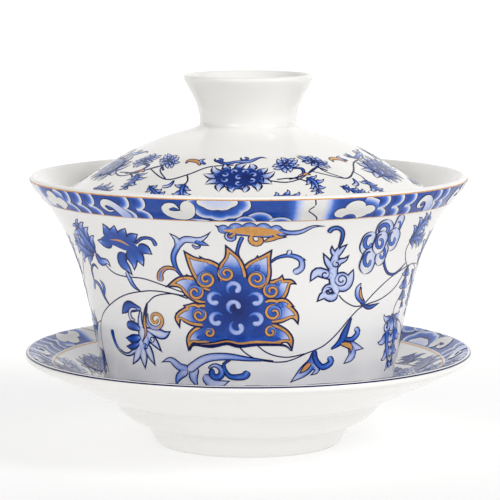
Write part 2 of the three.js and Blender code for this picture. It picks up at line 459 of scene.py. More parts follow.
class Brush:
    """Draws the marks of one motif on a painted face.

    A motif's own drawing is scaled and moved to its place on a panel, and the panel is turned
    round the piece.
    """

    def __init__(self, coats, turn, at, size=1.0):
        self.coats = coats
        self.turn = turn
        self.origin = np.array(at, float)
        self.size = size

    def moved(self, at, size=1.0):
        """A brush for a part of this motif, placed in the motif's own drawing."""
        return Brush(self.coats, self.turn, self.placed(at), self.size * size)

    def placed(self, points):
        """Drawing places carried to the panel."""
        return self.origin + np.asarray(points, float) * self.size

    def outline(self, bold=1.0):
        """The width of an outline, which is a little less on a smaller motif."""
        width = bpy.context.scene.gaiwan_paint.outline / MM
        return width * bold * min(1, 0.45 + 0.55 * self.size)

    def stroke(self, coat, points, halves, wash=(1, 1), edge=0.0, inset=0.0, level=0):
        """One stroke on one coat. Wash runs through its values, and `edge` deepens both sides."""
        halves = [half * self.size for half in halves]
        grid = stroke_grid(self.placed(points), halves, inset)
        if grid is None:
            return
        x, y, along, across = grid
        strength = evenly(wash, along.ravel()).reshape(along.shape) + edge * across**2
        self.coats[coat].add(x, y, strength, self.turn, level)

    def leaf(self, points, halves, wash=(0.7, 0.1), edge=0.22, gilt=0.0, bold=1.0, level=0):
        """An outlined stroke: dark outline, gilding if any, then wash inside them."""
        line = self.outline(bold)
        self.stroke("line", points, halves, level=level)
        if gilt:
            self.stroke("gilt", points, halves, inset=line, level=level)
        self.stroke("wash", points, halves, wash, edge, line + gilt * self.size, level)

    def gold_leaf(self, points, halves, level=0):
        """An outlined stroke that is gilded all over."""
        self.stroke("line", points, halves, level=level)
        self.stroke("gilt", points, halves, inset=self.outline(), level=level)

    def vine(self, points, wide=1.0):
        """A thin stem."""
        half = bpy.context.scene.gaiwan_paint.vine / MM / 2 * wide
        self.stroke("line", points, (half, half, half))

    def disc(self, coat, centre, radius, wash=(1, 1), level=0):
        """A round mark: rings about a centre, with wash running from the centre to the edge."""
        radius = radius * self.size
        rings = max(3, math.ceil(radius / GRID))
        steps = max(16, math.ceil(2 * math.pi * radius / GRID))
        share = np.linspace(PINHOLE, 1, rings + 1)[:, None]
        angle = np.linspace(0, 2 * math.pi, steps + 1)[None, :]
        x, y = self.placed(centre)
        x = x + share * radius * np.cos(angle)
        y = y + share * radius * np.sin(angle)
        self.coats[coat].add(x, y, between(wash, share) + 0 * angle, self.turn, level)


# ---- Motifs ---------------------------------------------------------------------------------


def curl(brush, centre, radius, begin, sweep, wash=(0.35, 0.75), level=0):
    """A spiral hook that ends in a round head."""
    path = spiral(centre, radius, radius * 0.3, begin, sweep)
    brush.leaf(path, (radius * 0.16, radius * 0.42, radius * 0.42), wash, level=level)


def petal(brush, spine, width, level):
    """A flame-shaped petal: a dark outline, a gilded border, a thin dark line, and a pale tip."""
    halves = (width, width * 1.12, width * 0.95, width * 0.42, 0)
    outline, border, line = 0.5, 0.6, 0.2
    brush.stroke("line", spine, halves, level=level)
    brush.stroke("gilt", spine, halves, inset=outline, level=level)
    brush.stroke("line", spine, halves, inset=outline + border, level=level + 0.3)
    inset = outline + border + line
    brush.stroke("wash", spine, halves, (0.95, 0.75, 0.28, 0.1), inset=inset, level=level + 0.3)


def gilded_scroll(brush, centre, radius, begin, sweep, level):
    """A gilded spiral with dark sides round a blue eye."""
    brush.disc("line", centre, radius * 1.02, level=level)
    brush.disc("wash", centre, radius * 0.94, (0.9, 0.5), level)
    path = spiral(centre, radius * 1.12, radius * 0.22, begin, sweep, 13)
    brush.stroke("line", path, (0.1, 0.46, 0.46, 0.42), level=level + 1)
    brush.stroke("gilt", path, (0.0, 0.27, 0.27, 0.22), level=level + 1)


def lotus(brush):
    """The main flower: nine flame petals with smaller ones between them, gilded scrolls at their
    feet, and a deep blue heart on a dark lower edge.
    """
    petals = (
        ([(-5.0, -7.0), (-8.6, -8.2), (-11.4, -9.6), (-12.2, -12.9)], 2.5, 0),
        ([(5.0, -7.0), (9.4, -8.0), (12.4, -9.4), (13.2, -12.6)], 2.5, 0),
        ([(-5.0, -3.2), (-10.0, -3.4), (-14.4, -4.0), (-14.2, -7.2)], 2.9, 1),
        ([(5.0, -1.8), (9.8, -2.2), (13.6, -3.2), (14.8, -6.0)], 3.1, 1),
        ([(-5.0, 1.6), (-9.4, 3.2), (-13.6, 4.9), (-18.0, 3.4)], 3.1, 0),
        ([(5.0, 1.8), (9.4, 3.2), (12.6, 5.3), (14.6, 4.6)], 3.2, 0),
        ([(-3.6, 3.4), (-6.6, 7.4), (-10.2, 10.6), (-12.7, 14.0)], 3.7, 1),
        ([(3.0, 3.6), (5.0, 8.2), (6.8, 11.4), (8.8, 14.6)], 3.5, 1),
        ([(-0.6, 4.0), (-1.0, 8.4), (-1.0, 12.0), (-2.4, 16.0)], 3.3, 2),
    )
    shoulders = (
        ([(-6.0, 6.4), (-7.2, 10.0), (-8.8, 12.6)], 2.0, 1.05),
        ([(5.0, 7.6), (5.0, 10.6), (5.2, 13.0)], 1.9, 1.05),
        ([(-9.0, 3.2), (-11.0, 5.2), (-12.2, 7.4)], 2.0, 0.05),
        ([(8.6, 3.4), (10.4, 5.6), (11.0, 7.6)], 1.8, 0.05),
        ([(-8.8, -2.6), (-11.4, -1.6), (-13.4, -0.9)], 1.9, 1.05),
        ([(8.8, -1.2), (11.6, -0.4), (14.0, -1.2)], 1.9, 1.05),
    )
    for spine, width, level in petals + shoulders:
        petal(brush, spine, width, level)
    scrolls = (
        (-7.2, 6.2, 2.15, 150, 540), (-2.3, 7.8, 1.9, 140, 470), (4.8, 6.4, 2.2, 20, -540),
        (8.3, 3.2, 1.85, 100, 490), (8.7, -2.5, 2.0, 70, 420), (8.0, -7.3, 1.4, 60, 380),
        (-10.0, 2.6, 1.9, 60, -420), (-9.2, -3.2, 1.7, 60, -420), (-6.8, -7.6, 1.2, 80, -380),
    )
    for x, y, radius, begin, sweep in scrolls:
        gilded_scroll(brush, (x, y), radius, begin, sweep, 3)
    edge = [
        (-11.8, -12.6), (-10.6, -10.9), (-6.4, -10.8), (-2.6, -9.9),
        (0.4, -10.6), (5.0, -10.2), (11.0, -10.8), (13.0, -12.4),
    ]
    gold = [(-9.4, -10.7), (-6.0, -10.4), (-2.4, -9.7), (0.6, -10.2), (4.6, -9.8), (10.4, -10.2)]
    foot = [(-10.0, -9.0), (-4.0, -8.6), (0.4, -9.2), (5.0, -8.8), (10.4, -9.2)]
    brush.stroke("line", edge, (0.1, 0.75, 0.75, 0.6, 0.1), level=3)
    brush.stroke("gilt", gold, (0.0, 0.16, 0.22, 0.3, 0.1), level=3)
    brush.stroke("wash", foot, (0.3, 1.5, 1.3, 1.5, 0.3), (0.8, 0.8), level=2.35)
    heart = ((-0.4, -0.8, 7.3), (-4.6, -5.0, 3.9), (4.4, -5.0, 3.9), (0, -6.4, 3.4), (0, 4.4, 3.2))
    for x, y, radius in heart:
        brush.disc("wash", (x, y), radius, (0.98, 0.86), 2.6)
    seed_head(brush)


def seed_head(brush):
    """Seven comma strokes on the lotus's heart: one in the middle and six round it."""
    brush.disc("wash", (-0.3, -1.2), 5.4, (1.16, 0.92), 4)
    commas = (
        (-0.5, -0.8, 250, -265), (-0.4, 3.9, 225, -285), (4.5, 0.9, 150, -270), (4.5, -4.3, 150, -270),
        (0.1, -6.2, 120, 290), (-4.9, -4.3, 40, 280), (-5.3, 0.9, 30, 280),
    )
    for x, y, begin, sweep in commas:
        path = spiral((x, y), 1.95, 0.6, begin, sweep * 1.08, 11)
        halves = (0.1, 0.45, 0.58, 0.5, 0.85)
        brush.stroke("light", path, halves, (0.66, 0.34, 0.3), edge=0.16, level=5)


def frond(brush, spine, lobes, reach, wash=LEAFY, swing=55, width=0.28):
    """A cut leaf: pointed lobes on both sides of a curved midrib, longest in the middle.

    A lobe leaves the midrib at the swing in degrees, less so towards the tip. Its half width is
    a share of its reach.
    """
    fine, travelled = smooth_path(spine)
    total = travelled[-1]
    heading = np.gradient(fine, travelled, axis=0)
    for k in range(lobes):
        share = (k + 0.35) / lobes
        root = read_path(fine, travelled, share * total)
        ahead = read_path(heading, travelled, share * total)
        angle = math.atan2(ahead[1], ahead[0])
        size = reach * (0.6 + 0.4 * math.sin(math.pi * min(1, share + 0.15)))
        for hand in (-1, 1):
            lean = hand * math.radians(swing * (1.1 - 0.45 * share))
            lobe(brush, root, angle + lean, size, hand, width, wash, k % 3)
    brush.leaf(spine, (reach * 0.1, reach * 0.22, reach * 0.16, 0), (wash[0], wash[-1] + 0.2), level=3)


def lobe(brush, root, angle, reach, hand, width, wash, level):
    """One lobe of a cut leaf, bent out and then back towards the leaf's tip."""
    out = ray(angle) * reach
    aside = -left_of(out) * 0.16 * hand
    shares = ((0, 0), (0.4, 0.8), (0.75, 0.5), (1, -1.2))
    spine = [root + out * ahead + aside * bend for ahead, bend in shares]
    half = reach * width
    brush.leaf(spine, (half * 0.8, half, half * 0.62, 0), wash, level=level)


def cluster(brush, leaves, wash, edge=0.25, bold=1.2, level=0):
    """Outlined strokes that run into one another, so that only their outer outline shows."""
    for k, (spine, halves) in enumerate(leaves):
        rise = level + 0.05 * k
        brush.stroke("line", spine, halves, level=rise)
        brush.stroke("wash", spine, halves, wash, edge, brush.outline(bold), rise + 1)


def hook(brush, centre, start, end, begin, sweep, half=0.17, level=2):
    """A thin dark spiral drawn inside a leaf."""
    path = spiral(centre, start, end, begin, sweep, 11)
    brush.stroke("line", path, (0.05, half, half), level=level)


def blossom(brush, radius):
    """A small cloud-shaped flower: tall overlapping lobes, each with a hooked double outline."""
    lobes = (
        (0.92, 0.84, 0.26, 0.40, 200, 300), (-0.66, 0.02, 0.46, 0.20, 70, 300),
        (0.14, 0.62, 0.50, 0.10, 200, -300), (0.66, 0.10, 0.42, 0.24, 100, 310),
        (-0.66, -0.80, 0.42, 0.30, 70, 310), (0.06, -0.56, 0.34, 0.30, 110, -300),
        (-0.08, 0.04, 0.38, 0.30, 80, 420),
    )
    for k, (x, y, size, tall, begin, sweep) in enumerate(lobes):
        centre = np.array([x, y]) * radius
        wide = radius * size
        half = np.array([0.33, 0.94]) * (0.7 * tall * radius + wide)
        level = 1.2 * k
        brush.leaf([centre - half, centre + half], (wide, wide), (0.0, 0.22), bold=1.5, level=level)
        path = spiral((0, 0), wide * 0.7, wide * 0.16, begin, sweep, 11)
        path = centre + path * [1, 1 + 0.7 * tall / size]
        halves = (wide * 0.08, wide * 0.24, wide * 0.24, wide * 0.18)
        brush.stroke("line", path, halves, level=level + 0.6)
        brush.stroke("wash", path, halves, (0.85, 0.5), inset=wide * 0.1, level=level + 0.6)


def bloom(brush, radius):
    """A small flower of two rings of pointed petals, which bend left and right in turn."""
    for ring, (count, reach) in enumerate(((9, 1.0), (6, 0.64))):
        for k in range(count):
            angle = 2 * math.pi * (k + 0.5 * ring) / count + 0.4
            out = ray(angle) * radius * reach
            bend = left_of(out) * 0.24 * (-1) ** k
            spine = [out * 0.1, out * 0.6, out + bend]
            halves = (radius * 0.12, radius * 0.25 * reach, 0)
            brush.leaf(spine, halves, (0.95, 0.35, -0.05), level=2 * ring + k % 3 * 0.6)
    curl(brush, (0, 0), radius * 0.24, 60, 400, (0.9, 0.3), level=4)


def small_lotus(brush):
    """A lotus seen from above: two rings of petals with dark double outlines, and a blue heart."""
    rings = (
        (13, (5.0, 3.4), (9.0, 5.8), 1.25, (0.7, 0.3, 0.0)),
        (10, (3.2, 2.2), (6.4, 4.2), 1.35, (0.98, 0.9, 0.45)),
    )
    for ring, (count, roots, tips, wide, wash) in enumerate(rings):
        for k in range(count):
            out = ray(2 * math.pi * (k + 0.5 * ring) / count + 0.15)
            root, tip = out * roots, out * tips
            bend = left_of(out) * (1.3 * np.sign(out[0] * out[1]) + 0.5 * (-1) ** k)
            spine = [root, (root + tip) / 2, tip + bend]
            level = 2.5 * ring + k % 2
            brush.leaf(spine, (wide, wide * 0.95, 0), (0.3, 0.1, 0.2), bold=1.5, level=level)
            brush.stroke("line", spine, (wide * 0.6, wide * 0.55, 0), level=level + 0.7)
            brush.stroke("wash", spine, (wide * 0.5, wide * 0.45, 0), wash, level=level + 0.7)
    for x, radius in ((-2.2, 3.2), (2.2, 3.2), (0, 3.7)):
        brush.disc("wash", (x, 0), radius, (1.15, 1.0), level=6 + 0.1 * x)
    commas = (
        (0, -0.1), (-3.4, 0.9), (-3.2, -1.2), (3.4, 0.9),
        (3.2, -1.2), (-1.1, 2.2), (1.3, 2.2), (0.1, -2.4),
    )
    for k, centre in enumerate(commas):
        path = spiral(centre, 0.95, 0.3, 60 + 40 * k, 280 * (-1) ** k)
        brush.stroke("light", path, (0.06, 0.2, 0.26, 0.3), (0.6, 0.3), edge=0.1, level=7)


def lily(brush):
    """The long cloud-shaped flower above the lotus, gilded within and blue at its rim."""
    brush.leaf([(0.9, 11.4), (0.4, 13.4), (0.9, 15.8), (1.8, 18.2)], (0.5, 0.5, 0.6), (0.8, 0.5))
    puffs = ((-2.6, 20.4, 1.1), (0.4, 20.5, 1.6), (3.6, 20.6, 1.7), (6.8, 20.4, 1.7), (9.8, 20.0, 1.4))
    for x, y, radius in puffs:
        brush.disc("line", (x, y), radius + 0.3)
        brush.disc("wash", (x, y), radius + 0.05, (0.2, 0.6))
    body = [(-4.6, 21.6), (-2.0, 20.0), (2.4, 20.0), (7.0, 19.6), (11.0, 19.4), (14.2, 18.6)]
    brush.leaf(body, (0.05, 1.3, 1.7, 1.8, 1.4, 0.1), (0.5, 0.3))
    brush.stroke("gilt", body, (0.0, 0.9, 1.7, 1.8, 0.9, 0.0), inset=0.5, level=1)
    tail = [(10.4, 20.0), (13.0, 19.2), (15.6, 19.4), (18.8, 20.9), (22.0, 20.8)]
    brush.leaf(tail, (0.6, 0.75, 0.65, 0.4, 0), (0.5, 0.15), level=1)
    curl(brush, (-0.8, 18.2), 1.5, 100, 320, (0.15, 0.5), level=1)
    brush.gold_leaf(spiral((5.2, 17.3), 1.9, 0.6, 80, 340), (0.3, 0.85, 0.8), level=1)
    brush.gold_leaf([(0.2, 19.4), (-0.6, 18.4), (-2.2, 17.9)], (0.7, 0.6, 0), level=1)
    brush.gold_leaf([(9.0, 19.0), (10.2, 18.0), (12.4, 18.2)], (0.7, 0.6, 0), level=1)
    brush.gold_leaf([(6.8, 16.6), (8.4, 17.4), (10.4, 17.9), (12.4, 17.8)], (0.3, 0.75, 0.5, 0), level=1)


def forked_leaf(brush):
    """A stem that parts into two hooked prongs, with a gilded curl at its foot."""
    brush.leaf([(-12.4, 5.6), (-14.6, 8.6), (-15.2, 12.0), (-13.6, 15.6)], (0.3, 0.75, 0.9), (0.8, 0.35))
    brush.leaf([(-13.9, 14.2), (-14.1, 16.8), (-16.0, 18.8)], (0.9, 0.8, 0), (0.35, 0.05))
    prong = [(-14.2, 14.6), (-12.2, 16.9), (-9.0, 16.9), (-7.2, 17.8), (-5.4, 19.8)]
    brush.leaf(prong, (0.9, 1.0, 0), (0.35, 0.05))
    brush.leaf([(-9.8, 16.6), (-8.0, 16.1), (-6.0, 15.3)], (0.8, 0.75, 0), (0.7, 0.3))
    brush.leaf([(-10.4, 15.6), (-9.2, 14.6), (-8.2, 15.4)], (0.3, 0.5, 0.3), (0.2, 0.5))
    foot = [(-12.6, 6.0), (-15.0, 8.4), (-17.4, 8.6), (-19.0, 7.0), (-19.0, 4.8)]
    brush.leaf(foot, (0.25, 0.6, 1.1), (0.8, 0.4), gilt=0.3)


def hook_right(brush):
    """The curled tendril to the right of the lotus, with its bead and thorn."""
    stem = [(7.6, 10.2), (9.8, 12.0), (12.8, 12.6), (15.4, 11.4), (15.6, 9.0), (13.6, 7.7)]
    brush.leaf(stem, (0.3, 0.7, 1.0), (0.75, 0.2))
    brush.leaf([(12.4, 12.6), (12.9, 13.9), (13.0, 14.2)], (0.5, 0.7, 0.7), (0.1, 0.05))
    brush.leaf([(14.8, 11.8), (15.8, 11.6), (17.0, 11.0)], (0.3, 0.35, 0), (0.3, 0.1))


def flame_leaf(brush):
    """The tall pale leaf with a hooked top, flame-like sides and spirals drawn inside it."""
    leaves = (
        ([(25.3, 14.3), (24.5, 12.0), (24.0, 9.6), (23.8, 6.7), (24.5, 3.3), (25.1, 1.4)],
         (0.5, 1.2, 1.45, 1.4, 1.5, 0.9)),
        ([(24.3, 12.0), (23.5, 13.6), (23.5, 15.2)], (1.0, 0.7, 0)),
        ([(24.8, 11.8), (26.0, 13.6), (27.9, 15.2)], (0.9, 0.85, 0)),
        ([(23.8, 8.2), (22.3, 10.4), (21.0, 13.2)], (1.2, 1.0, 0)),
        ([(24.2, 8.6), (25.6, 10.2), (27.0, 10.6), (28.4, 12.0)], (1.0, 1.0, 0.7, 0)),
        ([(24.0, 6.2), (21.4, 7.2), (19.4, 7.6), (17.6, 5.0)], (1.2, 1.4, 1.25, 0)),
        ([(24.8, 3.4), (27.4, 3.6), (28.7, 5.6), (29.7, 8.0)], (1.3, 1.6, 1.3, 0)),
        ([(25.0, 1.6), (23.4, 0.7), (21.4, 1.5), (19.3, -0.3)], (1.0, 1.3, 1.1, 0)),
        ([(24.0, 3.6), (22.2, 3.4), (20.9, 2.0)], (1.0, 1.0, 0.6)),
        ([(23.8, 5.2), (28.4, 5.2)], (2.2, 2.2)),
    )
    cluster(brush, leaves, (0.28, 0.22, 0.16), 0.22, 1.5)
    top = [(22.6, 18.7), (23.4, 19.9), (25.1, 20.1), (26.3, 18.7), (26.0, 16.2), (25.2, 14.2)]
    brush.leaf(top, (0.75, 0.75, 0.7, 0.65, 0.6, 0.3), (0.5, 0.6, 0.85), bold=1.4, level=2)
    hook(brush, (26.2, 5.2), 2.1, 0.4, 120, 600, 0.2)
    hook(brush, (21.6, 6.9), 1.3, 0.4, 60, -400, 0.2)
    hook(brush, (24.6, 9.6), 1.1, 0.4, 100, 380, 0.2)
    hook(brush, (22.6, 2.4), 1.2, 0.5, 140, -380, 0.2)
    brush.vine([(25.4, 1.2), (27.2, -0.6), (30.0, -2.1), (32.8, -2.3)])


def left_leaf(brush):
    """The cut leaf on the left: a gilded stem and spiral, blue lobes, and a fan of points below."""
    brush.vine([(-12.0, 0.8), (-16.0, 1.8), (-20.6, 0.9), (-23.2, -1.2)])
    pale = (
        ([(-25.4, -3.4), (-25.8, -6.0), (-25.4, -8.6), (-25.6, -11.6), (-25.6, -14.6)],
         (0.5, 0.9, 1.1, 1.7, 0.8)),
        ([(-26.2, -12.6), (-27.5, -15.4), (-29.4, -18.0)], (1.4, 1.2, 0)),
        ([(-25.2, -13.0), (-25.1, -15.6), (-24.8, -18.6)], (1.3, 1.2, 0)),
        ([(-24.0, -12.0), (-22.9, -14.6), (-21.4, -17.4)], (1.3, 1.1, 0)),
        ([(-24.4, -8.6), (-22.0, -10.6), (-19.2, -13.6)], (1.2, 1.2, 0)),
        ([(-24.2, -7.8), (-21.0, -8.6), (-18.6, -8.9), (-16.6, -7.8)], (0.5, 1.1, 1.3, 0)),
        ([(-25.8, -7.4), (-24.2, -11.2), (-24.0, -12.4)], (1.0, 1.8, 1.2)),
        ([(-27.0, -13.0), (-29.8, -15.0), (-32.2, -15.3), (-34.9, -14.2), (-36.6, -12.0), (-37.3, -9.6)],
         (1.0, 0.7, 0.5, 0.5, 0.65, 0.9)),
    )
    cluster(brush, pale, (0.16, 0.08, 0.4), 0.4, 1.4)
    head = [(-33.6, -14.8), (-35.6, -13.4), (-36.6, -12.0), (-37.3, -9.9)]
    brush.stroke("wash", head, (0, 0.3, 0.4, 0.6), (0.4, 0.95), level=1.6)
    blue = (
        ([(-25.8, -8.3), (-27.8, -7.6), (-30.6, -7.5)], (0.7, 1.3, 1.0)),
        ([(-25.8, -10.2), (-28.4, -11.0), (-31.4, -11.0)], (0.7, 1.3, 0)),
        ([(-26.6, -12.0), (-29.0, -13.1), (-31.4, -13.2)], (0.7, 1.0, 0)),
        ([(-25.2, -3.0), (-27.4, -2.8), (-29.6, -2.7), (-31.2, -3.9), (-32.2, -5.0)],
         (0.4, 1.1, 1.6, 1.2, 0)),
    )
    cluster(brush, blue, (0.35, 0.8, 0.6), level=2)
    lip = [(-26.6, -3.0), (-28.6, -3.3), (-29.2, -4.6), (-28.7, -5.8), (-27.5, -6.0)]
    brush.leaf(lip, (0.35, 0.55, 0.55, 0.55, 0.4), (0.1, 0.05), level=4)
    hook(brush, (-22.2, -10.4), 0.9, 0.4, 200, 420)
    hook(brush, (-24.4, -12.6), 1.0, 0.3, 150, -300)
    stem = [(-23.2, -1.0), (-23.9, -3.4), (-24.3, -6.0), (-24.0, -8.8), (-25.2, -11.4)]
    brush.stroke("line", stem, (0.2, 0.55, 0.5, 0.45, 0.1), level=4)
    gold = [(-24.1, -4.2), (-24.3, -6.4), (-24.0, -8.8), (-24.7, -10.4)]
    brush.stroke("gilt", gold, (0, 0.26, 0.24, 0), level=4)
    path = spiral((-20.9, -5.2), 2.7, 0.3, 150, 610, 15)
    brush.stroke("line", path, (0.2, 0.6, 0.55, 0.45, 0.4), level=4)
    brush.stroke("wash", path, (0, 0.4, 0.3, 0, 0), (0.5, 0.2), level=4)
    brush.stroke("gilt", path, (-0.4, 0.0, 0.36, 0.3, 0.3), level=5)


def jagged_leaf(brush):
    """The broad saw-edged leaf at the upper left, deep blue, with a hooked tendril."""
    teeth = (
        ((-34.0, 15.6), (-34.4, 18.0), (-35.4, 20.2)), ((-32.4, 16.0), (-31.8, 18.4), (-31.4, 20.0)),
        ((-30.0, 16.0), (-28.8, 18.0), (-28.0, 19.4)), ((-27.6, 15.4), (-26.0, 16.8), (-24.4, 17.8)),
        ((-25.0, 13.6), (-22.8, 13.4), (-20.8, 12.0)), ((-26.4, 12.6), (-24.6, 10.8), (-23.6, 8.4)),
        ((-28.0, 12.8), (-26.6, 9.6), (-26.6, 7.0)),
        ((-29.6, 12.0), (-30.4, 9.4), (-28.6, 7.4), (-27.2, 5.6)),
        ((-33.0, 14.2), (-36.0, 14.2), (-38.8, 14.6)),
    )
    leaves = [(spine, (1.8, 1.5, 0)) for spine in teeth]
    cluster(brush, leaves, (0.86, 0.7, 0.15), 0.08, 1.4)
    middle = [(-37.0, 15.0), (-32.4, 15.6), (-28.4, 14.6), (-24.6, 12.6)]
    brush.stroke("wash", middle, (0.4, 1.9, 2.1, 0.6), (0.86, 0.84), level=1.6)
    tendril = [(-25.6, 14.8), (-23.4, 16.6), (-20.8, 16.6), (-19.6, 14.6)]
    brush.leaf(tendril, (0.4, 0.55, 0.5, 0.7), (0.8, 0.5))
    brush.stroke("line", [(-34.6, 15.4), (-30.4, 15.5), (-26.4, 13.6)], (0.1, 0.55, 0), level=2)
    brush.stroke("gilt", [(-33.8, 15.3), (-30.4, 15.3), (-27.0, 13.9)], (0.0, 0.3, 0), level=2)


def foot_scroll(brush):
    """The leafy scroll below the lotus, with two curled heads."""
    tip = [(-12.0, -17.2), (-14.6, -16.8), (-17.0, -15.2), (-19.9, -16.2)]
    brush.leaf(tip, (1.0, 1.0, 0), (0.4, 0.1))
    brush.leaf([(-12.6, -17.6), (-14.8, -19.4), (-15.8, -22.0)], (1.2, 1.0, 0), (0.2, 0.6))
    brush.leaf([(-10.4, -16.4), (-11.0, -19.2), (-9.8, -21.9)], (1.2, 1.2, 0), (0.15, 0.45))
    brush.leaf([(-8.4, -18.6), (-5.6, -20.8), (-1.8, -19.8)], (1.2, 1.4, 0), (0.35, 0.1))
    stem = [(8.6, -14.7), (3.0, -14.2), (-3.0, -13.6), (-8.0, -14.4), (-12.4, -17.6)]
    brush.leaf(stem, (0.12, 0.95, 1.2), (0.65, 0.12), level=1)
    curl(brush, (-5.4, -17.8), 2.1, 150, -400, (0.2, 0.75), level=1)
    head = [(-1.6, -14.2), (-3.4, -15.8), (-2.0, -18.6), (1.4, -18.6), (2.4, -17.2)]
    brush.leaf(head, (0.3, 0.7, 1.1), (0.7, 0.5), level=1)


def gilded_sprigs(brush):
    """The two sprigs on the lower right vine, each with a gilded heart."""
    tendril = [(18.8, -12.4), (19.2, -15.0), (21.0, -17.0), (23.4, -16.0), (22.8, -14.4)]
    brush.leaf(tendril, (0.7, 0.85, 0.9), (0.8, 0.4), level=1)
    brush.leaf([(18.9, -12.8), (18.2, -15.6), (15.8, -18.0), (12.4, -20.6)], (0.8, 1.5, 0), (0.7, 0.05))
    brush.gold_leaf([(17.8, -15.6), (16.4, -17.0), (14.8, -18.4)], (0.7, 0.8, 0), level=1)
    brush.leaf([(17.6, -15.4), (19.6, -17.6), (17.6, -19.0)], (0.8, 0.9, 0), (0.5, 0.1))
    sheath = [(29.4, -5.0), (27.8, -8.0), (26.2, -10.8), (23.4, -12.6)]
    brush.leaf(sheath, (0.3, 1.1, 0.3), (0.85, 0.6), level=1)
    tendril = [(27.0, -10.2), (29.8, -10.6), (31.6, -9.0), (30.6, -7.8)]
    brush.leaf(tendril, (0.5, 0.8, 0.9), (0.8, 0.3), level=1)
    brush.leaf([(27.0, -11.0), (30.4, -12.6), (34.0, -13.6)], (1.0, 1.2, 0), (0.5, 0.05))
    brush.leaf([(29.4, -12.2), (29.8, -14.8), (27.0, -16.9)], (1.2, 1.2, 0), (0.5, 0.05))
    brush.gold_leaf([(26.2, -11.4), (29.2, -12.4), (29.4, -14.6)], (0.5, 0.9, 0), level=1)


def spiky_leaf(brush):
    """The upright double leaf at the far right, on its thin stem."""
    brush.vine([(52.6, 1.8), (50.0, -1.2), (47.0, -4.0), (46.0, -6.4)])
    for side in (-1, 1):
        stations = ((46.0, 0, -6.0), (46.0, 2.4, -9.6), (46.2, 2.0, -14.4), (47.6, 1.0, -21.0))
        spine = [(x + aside * side, y) for x, aside, y in stations]
        frond(brush, spine, 4, 4.6, (0.8, 0.3, 0.0), 60)
        curl(brush, (46.0 + 2.9 * side, -9.0), 1.5, 90, side * 360, (0.2, 0.1), level=3)
    brush.vine([(46.0, -6.0), (46.1, -12.0), (47.0, -18.0)])


def bowl_vines(brush):
    """The thin stems that join one panel's flowers and leaves, and reach into the next panel."""
    vines = (
        [(-12.0, 2.0), (-18.0, 3.8), (-24.0, 5.2), (-30.0, 5.2), (-34.5, 6.0), (-39.0, 9.2),
         (-43.0, 12.4)],
        [(-12.0, 1.4), (-20.0, 2.2), (-25.4, 1.6), (-31.0, 0.0), (-36.8, -3.0), (-41.8, -6.6),
         (-44.4, -11.2), (-44.0, -16.6), (-42.0, -22.0)],
        [(-0.7, -9.4), (1.6, -12.4), (5.2, -14.4), (11.4, -15.0), (17.5, -12.9)],
        [(3.4, -9.4), (7.0, -12.6), (11.6, -13.9), (16.6, -13.2)],
        [(17.0, -13.1), (21.2, -11.6), (25.0, -8.8), (29.0, -5.0), (33.0, -2.4), (39.8, -1.2),
         (46.0, 1.2), (51.0, 5.4), (55.0, 6.4), (60.0, 4.0)],
        [(32.8, -2.3), (38.0, 1.4), (44.0, 4.4), (51.0, 6.2)],
        [(-43.0, 12.4), (-49.0, 8.0), (-54.0, 1.0), (-60.0, -2.0), (-70.0, 0.0)],
        [(55.0, 6.4), (60.0, 5.6), (64.0, 3.4), (66.0, 1.0)],
        [(46.2, -7.0), (50.4, -8.2), (53.8, -10.4), (56.0, -12.8)],
        [(-43.4, -8.2), (-45.0, -8.8), (-47.0, -9.6)],
        [(51.2, 6.0), (49.2, 8.8), (48.8, 11.4), (50.4, 14.2)],
    )
    for points in vines:
        brush.vine(points)


